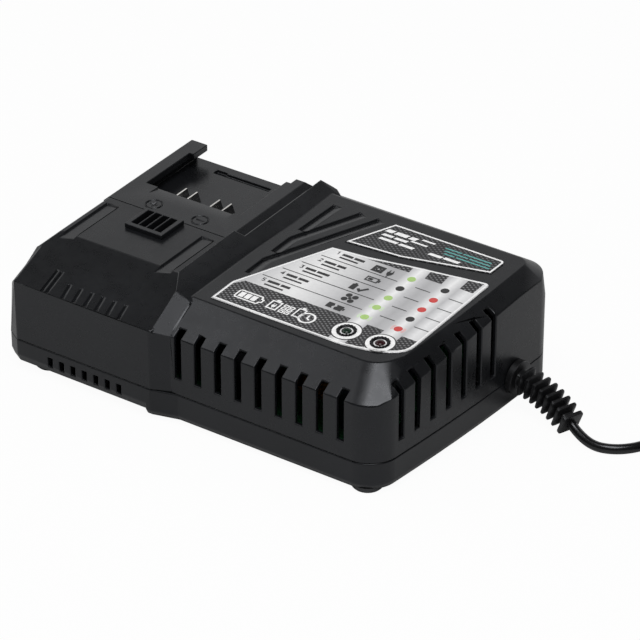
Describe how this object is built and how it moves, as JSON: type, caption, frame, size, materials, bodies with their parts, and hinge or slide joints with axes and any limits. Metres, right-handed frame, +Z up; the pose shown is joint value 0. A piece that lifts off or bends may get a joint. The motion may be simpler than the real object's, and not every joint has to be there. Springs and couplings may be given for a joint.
{
  "type": "power tool battery charger",
  "caption": "Desktop charger with a slide-on battery bay, sloped status panel, side vents, internal fan and a mains lead with a coiled length and flat two-pin plug.",
  "frame": {"origin": "centre of the housing's footprint, on the surface the feet stand on; the lead and plug are left out", "axes": "+X to the side the mains lead leaves, +Y to the rear, where a battery pack slides in, +Z up"},
  "size_m": [0.3995, 0.1758, 0.0697],
  "materials": {
    "abs_black": "fine spark-eroded texture",
    "abs_insert": "fine spark-eroded texture, slightly smoother than the housing",
    "abs_fan": "moulded, smooth matt",
    "label_film": "printed silver polycarbonate film",
    "name_film": "printed dark polycarbonate film with a woven pattern",
    "lens_green": "smoky moulded lens, unlit",
    "lens_red": "smoky moulded lens, unlit",
    "contact_metal": "nickel-plated strip",
    "screw_steel": "zinc plated",
    "board": "green solder mask over glass laminate",
    "terminal_plastic": "moulded nylon",
    "clamp_plastic": "moulded nylon",
    "fuse_glass": "tube with plated caps",
    "choke_wire": "enamelled copper winding on a ring",
    "film_cap": "boxed film capacitor",
    "chip": "moulded package",
    "can_sleeve": "shrink sleeve on an aluminium can",
    "ferrite": "ground ferrite",
    "winding": "taped winding on a moulded bobbin",
    "fin_aluminium": "extruded",
    "foot_rubber": "moulded",
    "lead_rubber": "smooth sheath",
    "boot_rubber": "moulded, satin",
    "plug_plastic": "moulded on"
  },
  "bodies": {
    "charger": {"lower_housing": "abs_black", "upper_housing": "abs_black", "dock_insert": "abs_insert", "vent_grille": "abs_insert", "blade_plus": "contact_metal", "blade_temp": "contact_metal", "blade_data": "contact_metal", "blade_minus": "contact_metal", "terminal_board": "board", "terminal_screws": "screw_steel", "status_label": "label_film", "name_label": "name_film", "led_green": "lens_green", "led_red": "lens_red", "led_board": "board", "led_screws": "screw_steel", "main_board": "board", "board_screws": "screw_steel", "inlet_terminal": "terminal_plastic", "inlet_lead": "lead_rubber", "cord_clamp": "clamp_plastic", "clamp_screws": "screw_steel", "fuse": "fuse_glass", "filter_choke": "choke_wire", "filter_capacitor": "film_cap", "rectifier": "chip", "bulk_capacitors": "can_sleeve", "transformer_core": "ferrite", "transformer_winding": "winding", "heatsink_primary": "fin_aluminium", "heatsink_secondary": "fin_aluminium", "switch_transistor": "chip", "output_diode": "chip", "output_capacitors": "can_sleeve", "controller_chip": "chip", "fan_frame": "abs_fan", "fan_screws": "screw_steel", "case_screws": "screw_steel", "rubber_feet": "foot_rubber", "strain_relief": "boot_rubber", "mains_cord": "lead_rubber", "cord_coil": "lead_rubber", "coil_tie": "clamp_plastic", "cord_tail": "lead_rubber", "plug_body": "plug_plastic", "plug_pins": "contact_metal"},
    "fan": {"fan_rotor": "abs_fan"}
  },
  "joints": [
    {"name": "fan_spin", "type": "hinge", "parent": "charger", "child": "fan", "pos_m": [-0.0734, -0.0165, 0.05], "axis": [0, 0, 1], "continuous": true}
  ]
}
